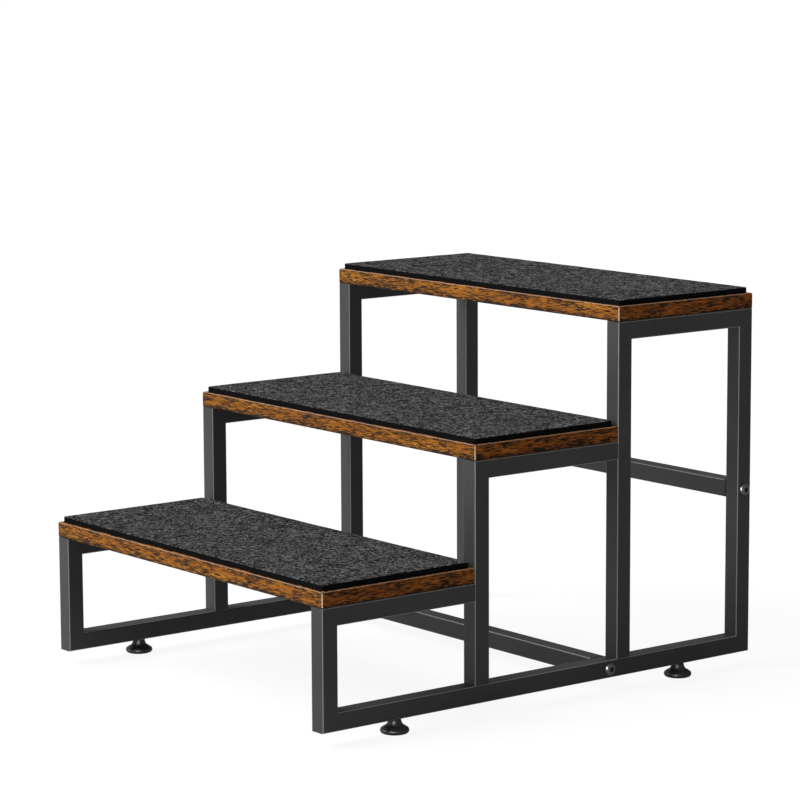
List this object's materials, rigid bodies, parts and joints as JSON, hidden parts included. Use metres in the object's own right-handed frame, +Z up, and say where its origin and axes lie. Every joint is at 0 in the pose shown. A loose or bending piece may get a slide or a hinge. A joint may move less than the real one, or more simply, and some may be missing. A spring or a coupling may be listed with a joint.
{
  "type": "pet stairs",
  "caption": "Pet stairs: two welded square-tube side frames, wood-effect treads with felt pads, bolted cross bars and screw-in levelling feet.",
  "frame": {"origin": "on the floor, at the middle of the stairs' footprint", "axes": "+Z up, +Y from the lowest step towards the highest, +X to the right of one who walks up"},
  "size_m": [0.5106, 0.6, 0.4295],
  "materials": {
    "frame_tube": "satin black powder coat",
    "tread_board": "rustic brown wood-effect laminate",
    "felt": "heathered charcoal needle felt",
    "bolt": "black oxide, slightly glossy",
    "plug": "moulded, fine grain",
    "rivet_nut": "zinc plated",
    "stem": "zinc plated thread",
    "glide": "glossy moulded black"
  },
  "bodies": {
    "frame": {"left_bottom_rail": "frame_tube", "left_front_post": "frame_tube", "left_second_post": "frame_tube", "left_third_post": "frame_tube", "left_rear_post": "frame_tube", "left_lower_step_rail": "frame_tube", "left_middle_step_rail": "frame_tube", "left_upper_step_rail": "frame_tube", "right_bottom_rail": "frame_tube", "right_front_post": "frame_tube", "right_second_post": "frame_tube", "right_third_post": "frame_tube", "right_rear_post": "frame_tube", "right_lower_step_rail": "frame_tube", "right_middle_step_rail": "frame_tube", "right_upper_step_rail": "frame_tube", "lower_tread_board": "tread_board", "lower_felt_pad": "felt", "middle_tread_board": "tread_board", "middle_felt_pad": "felt", "upper_tread_board": "tread_board", "upper_felt_pad": "felt", "lower_cross_bar": "frame_tube", "lower_cross_bar_plugs": "plug", "lower_cross_bar_bolts": "bolt", "rear_cross_bar": "frame_tube", "rear_cross_bar_plugs": "plug", "rear_cross_bar_bolts": "bolt", "foot_rivet_nuts": "rivet_nut"},
    "front_left_stem": {"front_left_stem": "stem"},
    "front_left_glide": {"front_left_glide": "glide"},
    "rear_left_stem": {"rear_left_stem": "stem"},
    "rear_left_glide": {"rear_left_glide": "glide"},
    "front_right_stem": {"front_right_stem": "stem"},
    "front_right_glide": {"front_right_glide": "glide"},
    "rear_right_stem": {"rear_right_stem": "stem"},
    "rear_right_glide": {"rear_right_glide": "glide"}
  },
  "joints": [
    {"name": "front_left_foot_travel", "type": "slide", "parent": "frame", "child": "front_left_stem", "axis": [0, 0, -1], "range_m": [0, 0.00805]},
    {"name": "front_left_foot_turn", "type": "hinge", "parent": "front_left_stem", "child": "front_left_glide", "pos_m": [-0.24, -0.2, 0], "axis": [0, 0, -1], "range_deg": [0, 2880]},
    {"name": "rear_left_foot_travel", "type": "slide", "parent": "frame", "child": "rear_left_stem", "axis": [0, 0, -1], "range_m": [0, 0.00805]},
    {"name": "rear_left_foot_turn", "type": "hinge", "parent": "rear_left_stem", "child": "rear_left_glide", "pos_m": [-0.24, 0.2, 0], "axis": [0, 0, -1], "range_deg": [0, 2880]},
    {"name": "front_right_foot_travel", "type": "slide", "parent": "frame", "child": "front_right_stem", "axis": [0, 0, -1], "range_m": [0, 0.00805]},
    {"name": "front_right_foot_turn", "type": "hinge", "parent": "front_right_stem", "child": "front_right_glide", "pos_m": [0.24, -0.2, 0], "axis": [0, 0, -1], "range_deg": [0, 2880]},
    {"name": "rear_right_foot_travel", "type": "slide", "parent": "frame", "child": "rear_right_stem", "axis": [0, 0, -1], "range_m": [0, 0.00805]},
    {"name": "rear_right_foot_turn", "type": "hinge", "parent": "rear_right_stem", "child": "rear_right_glide", "pos_m": [0.24, 0.2, 0], "axis": [0, 0, -1], "range_deg": [0, 2880]}
  ],
  "couplings": [
    {"joint": "front_left_foot_travel", "follows": "front_left_foot_turn", "m_per_rad": 0.00015915},
    {"joint": "rear_left_foot_travel", "follows": "rear_left_foot_turn", "m_per_rad": 0.00015915},
    {"joint": "front_right_foot_travel", "follows": "front_right_foot_turn", "m_per_rad": 0.00015915},
    {"joint": "rear_right_foot_travel", "follows": "rear_right_foot_turn", "m_per_rad": 0.00015915}
  ]
}
